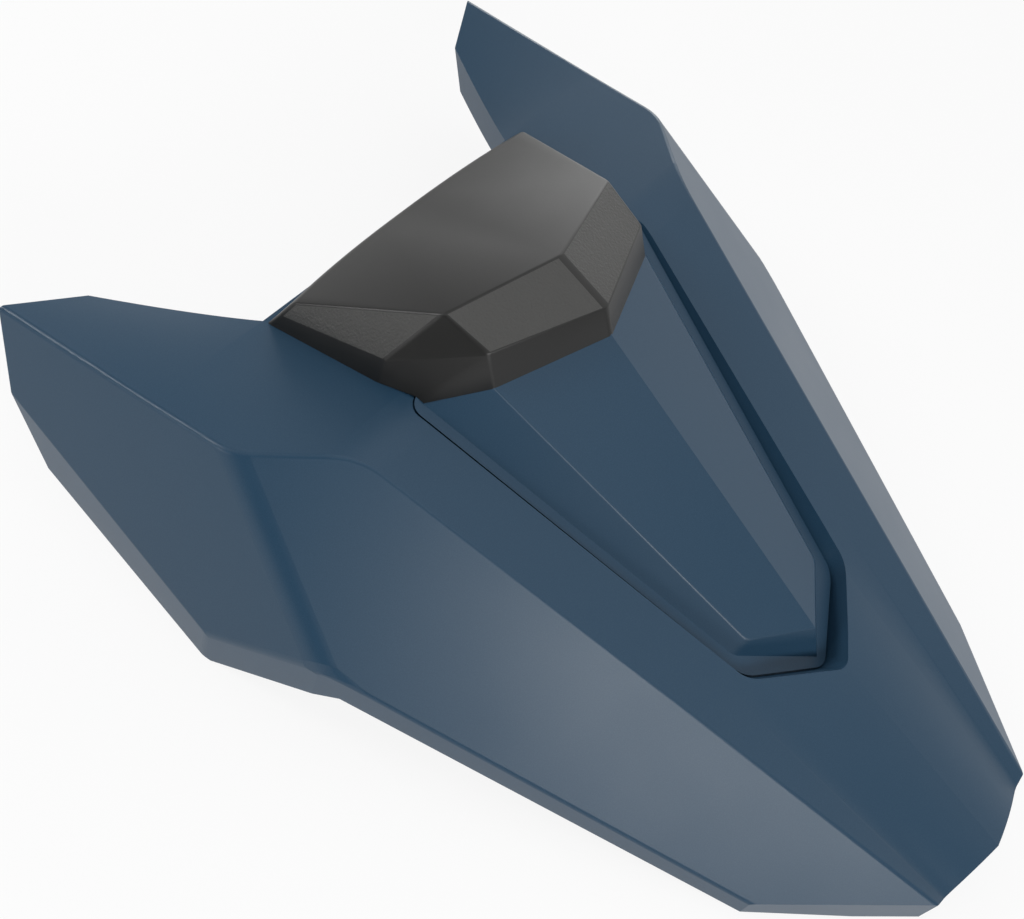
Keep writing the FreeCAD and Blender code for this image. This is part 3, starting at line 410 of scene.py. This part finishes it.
class BackrestPad(bpy.types.Operator):
    """Make the moulded pad with its rounded edges and its grained facets"""
    bl_idname = "cowl.backrest_pad"
    bl_label = "Backrest pad"

    def execute(self, context):
        settings = context.scene.cowl_pad
        pad = joined_copy("backrest_pad", "pad_skin", math.radians(LEVEL_ANGLE))
        self.reshape(pad)
        self.merge_corners(pad)
        self.finish_faces(pad, settings)
        self.round_edges(pad, settings)
        only(pad)
        bpy.ops.object.shade_smooth_by_angle(angle=math.radians(SHADING_ANGLE))
        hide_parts("backrest_pad")
        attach(pad, "root")
        return {"FINISHED"}

    def reshape(self, pad):
        """Draws the wall out over the cowl's front corner, and the side facet down to the front."""
        for vertex in pad.data.vertices:
            place = Vector((abs(vertex.co.x), vertex.co.y, vertex.co.z)) / MM
            for corner, target in PAD_MOVES:
                if (place - Vector(corner)).length < CORNER_REACH:
                    side = 1 if vertex.co.x > 0 else -1
                    vertex.co = Vector((side * target[0], target[1], target[2])) * MM

    def merge_corners(self, pad):
        """Merges corners that nearly meet, apart from the pockets', so that the edges round fully."""
        for vertex in pad.data.vertices:
            beside = abs(vertex.co.x) > POCKET_HALF_WIDTH * MM
            vertex.select = beside or vertex.co.y > POCKET_REAR * MM
        only(pad)
        bpy.ops.object.mode_set(mode="EDIT")
        bpy.ops.mesh.select_mode(type="VERT")
        bpy.ops.mesh.remove_doubles(threshold=MERGE_REACH * MM)
        bpy.ops.object.mode_set(mode="OBJECT")

    def finish_faces(self, pad, settings):
        """Gives the rear and side facets the grained skin, and the rest the satin one."""
        pad.data.materials.clear()
        pad.data.materials.append(skin_material("pad_satin", settings.colour, roughness=0.42,
                                                grain=settings.satin_grain, depth=0.02 * MM))
        pad.data.materials.append(skin_material("pad_grain", settings.grain_colour, roughness=0.5,
                                                grain=settings.grain, depth=0.3 * MM))
        for face in pad.data.polygons:
            rear_facet = face.normal.z > REAR_FACET_UP
            side_facet = face.normal.z > SIDE_FACET_UP and abs(face.normal.y) < SIDE_FACET_ALONG
            face.material_index = int(rear_facet or side_facet)

    def round_edges(self, pad, settings):
        """Rounds the pad's edges, each to its own width."""
        weights = pad.data.attributes.new("bevel_weight_edge", "FLOAT", "EDGE")
        widest = max(settings.edge, settings.ridge, settings.front)
        faces_of = {}
        for face in pad.data.polygons:
            for key in face.edge_keys:
                faces_of.setdefault(key, []).append(face)
        for edge in pad.data.edges:
            ends = [pad.data.vertices[i].co for i in edge.vertices]
            normals = [face.normal for face in faces_of.get(edge.key, [])]
            weights.data[edge.index].value = self.rounding(ends, normals, settings) / widest
        only(pad)
        bpy.ops.object.mode_set(mode="EDIT")
        bpy.ops.mesh.select_all(action="SELECT")
        bpy.ops.mesh.quads_convert_to_tris(quad_method="BEAUTY", ngon_method="BEAUTY")
        bpy.ops.object.mode_set(mode="OBJECT")
        apply_bevel(pad, widest / 2, ROUNDING_SEGMENTS)

    def rounding(self, ends, normals, settings):
        """Width of an edge's rounding: none where the faces are level or both are walls."""
        if len(normals) != 2 or normals[0].angle(normals[1]) < math.radians(ROUNDED_ANGLE):
            return 0.0
        if max(normal.z for normal in normals) < WALL_UP:
            return 0.0
        if min(normal.z for normal in normals) < UNDERSIDE_UP:
            return settings.foot
        if min(normal.y for normal in normals) < FRONT_WALL_ALONG:
            return settings.front
        if max(abs(end.x) for end in ends) < MIDDLE_REACH * MM:
            return settings.ridge
        return settings.edge


class HiddenPieces(bpy.types.Operator):
    """Finish the base, the metal pieces, the rubbers and the felts"""
    bl_idname = "cowl.hidden_pieces"
    bl_label = "Hidden pieces"

    def execute(self, context):
        settings = context.scene.cowl_hidden
        dress(PLASTICS, plastic_material("black_plastic", settings.plastic, roughness=0.5,
                                         grain=0.5 * MM, depth=0.03 * MM))
        dress(RUBBERS, plastic_material("black_rubber", settings.rubber, roughness=0.65,
                                        grain=0.8 * MM, depth=0.03 * MM))
        dress(FELTS, plastic_material("pressed_felt", settings.felt, roughness=0.95,
                                      grain=0.4 * MM, depth=0.25 * MM))
        dress(FOAMS, plastic_material("cut_foam", settings.foam, roughness=0.9,
                                      grain=0.9 * MM, depth=0.4 * MM))
        dress(COATED, plastic_material("powder_coat", settings.coat, roughness=0.45,
                                       grain=0.9 * MM, depth=0.03 * MM))
        dress(ZINC, metal_material("zinc_plate", settings.zinc, roughness=0.35))
        return {"FINISHED"}


class Studio(bpy.types.Operator):
    """Set up the camera, the floor and the lights"""
    bl_idname = "cowl.studio"
    bl_label = "Studio"

    def execute(self, context):
        settings = context.scene.cowl_stage
        context.scene.view_settings.view_transform = "Standard"
        self.camera(context, settings)
        self.floor(settings)
        self.world(context, settings)
        self.lamps(context)
        return {"FINISHED"}

    def camera(self, context, settings):
        """The camera at the photograph's viewing angle."""
        data = bpy.data.cameras.new("camera")
        data.sensor_width = SENSOR
        data.lens = FOCAL_PIXELS * SENSOR / IMAGE_WIDTH
        data.clip_start = NEAREST
        camera = bpy.data.objects.new("camera", data)
        context.scene.collection.objects.link(camera)
        place = Vector(settings.place)
        turn = looking(Vector(settings.aim) - place) @ Matrix.Rotation(settings.roll, 4, "Z")
        camera.matrix_world = Matrix.Translation(place) @ turn
        context.scene.camera = camera

    def floor(self, settings):
        """A wide pale floor just under the piece."""
        bpy.ops.object.select_all(action="DESELECT")
        bpy.ops.mesh.primitive_plane_add(size=FLOOR_SIZE, location=(0, 0, CAD_BOX[0][2] - FLOOR_GAP))
        floor = bpy.context.object
        floor.name = "floor"
        floor.data.materials.append(floor_material(settings.floor))

    def world(self, context, settings):
        """Soft light from the far side of the sky, with none from the camera's side."""
        world = bpy.data.worlds.new("studio")
        world.use_nodes = True
        tree = world.node_tree
        background = tree.nodes["Background"]
        background.inputs["Color"].default_value = (1.0, 1.0, 1.0, 1.0)
        place = tree.nodes.new("ShaderNodeTexCoord")
        total = 0.0
        for name, direction, begin, full, strength in SKY:
            facing = tree.nodes.new("ShaderNodeVectorMath")
            facing.operation = "DOT_PRODUCT"
            facing.label = name
            tree.links.new(place.outputs["Generated"], facing.inputs[0])
            facing.inputs[1].default_value = Vector(direction).normalized()
            light = spread(tree, facing.outputs["Value"], begin, full, to_high=strength)
            light.node.interpolation_type = "SMOOTHSTEP"
            total = arithmetic(tree, "ADD", light, total)
        tree.links.new(arithmetic(tree, "MULTIPLY", total, settings.sky), background.inputs["Strength"])
        context.scene.world = world

    def lamps(self, context):
        """Soft boxes round the object, each looking at the origin."""
        for name, direction, distance, size, power in LAMPS:
            data = bpy.data.lights.new(name, "AREA")
            data.shape = "RECTANGLE"
            data.size, data.size_y = size
            data.energy = power
            lamp = bpy.data.objects.new(name, data)
            towards = Vector(direction).normalized()
            lamp.matrix_world = Matrix.Translation(towards * distance) @ looking(-towards)
            context.scene.collection.objects.link(lamp)


class CowlPanel(bpy.types.Panel):
    """Lists the steps that finish the cowl"""
    bl_idname = "VIEW3D_PT_cowl"
    bl_label = "Seat cowl"
    bl_space_type = "VIEW_3D"
    bl_region_type = "UI"
    bl_category = "Seat cowl"

    def draw(self, context):
        scene = context.scene
        for settings in (scene.cowl_paint, scene.cowl_pad, scene.cowl_hidden, scene.cowl_stage):
            for name in settings.__annotations__:
                self.layout.prop(settings, name)
        for step in STEPS:
            self.layout.operator(step.bl_idname)


STEPS = (PaintedPieces, BackrestPad, HiddenPieces, Studio)
GROUPS = (
    ("cowl_paint", CowlPaint),
    ("cowl_pad", CowlPad),
    ("cowl_hidden", CowlHidden),
    ("cowl_stage", CowlStage),
)


def register():
    for name, group in GROUPS:
        bpy.utils.register_class(group)
        setattr(bpy.types.Scene, name, bpy.props.PointerProperty(type=group))
    for step in STEPS:
        bpy.utils.register_class(step)
    bpy.utils.register_class(CowlPanel)


def unregister():
    bpy.utils.unregister_class(CowlPanel)
    for step in reversed(STEPS):
        bpy.utils.unregister_class(step)
    for name, group in reversed(GROUPS):
        delattr(bpy.types.Scene, name)
        bpy.utils.unregister_class(group)


def main():
    register()
    bpy.ops.cowl.painted_pieces()
    bpy.ops.cowl.backrest_pad()
    bpy.ops.cowl.hidden_pieces()
    bpy.ops.cowl.studio()


if __name__ == "__main__":
    main()
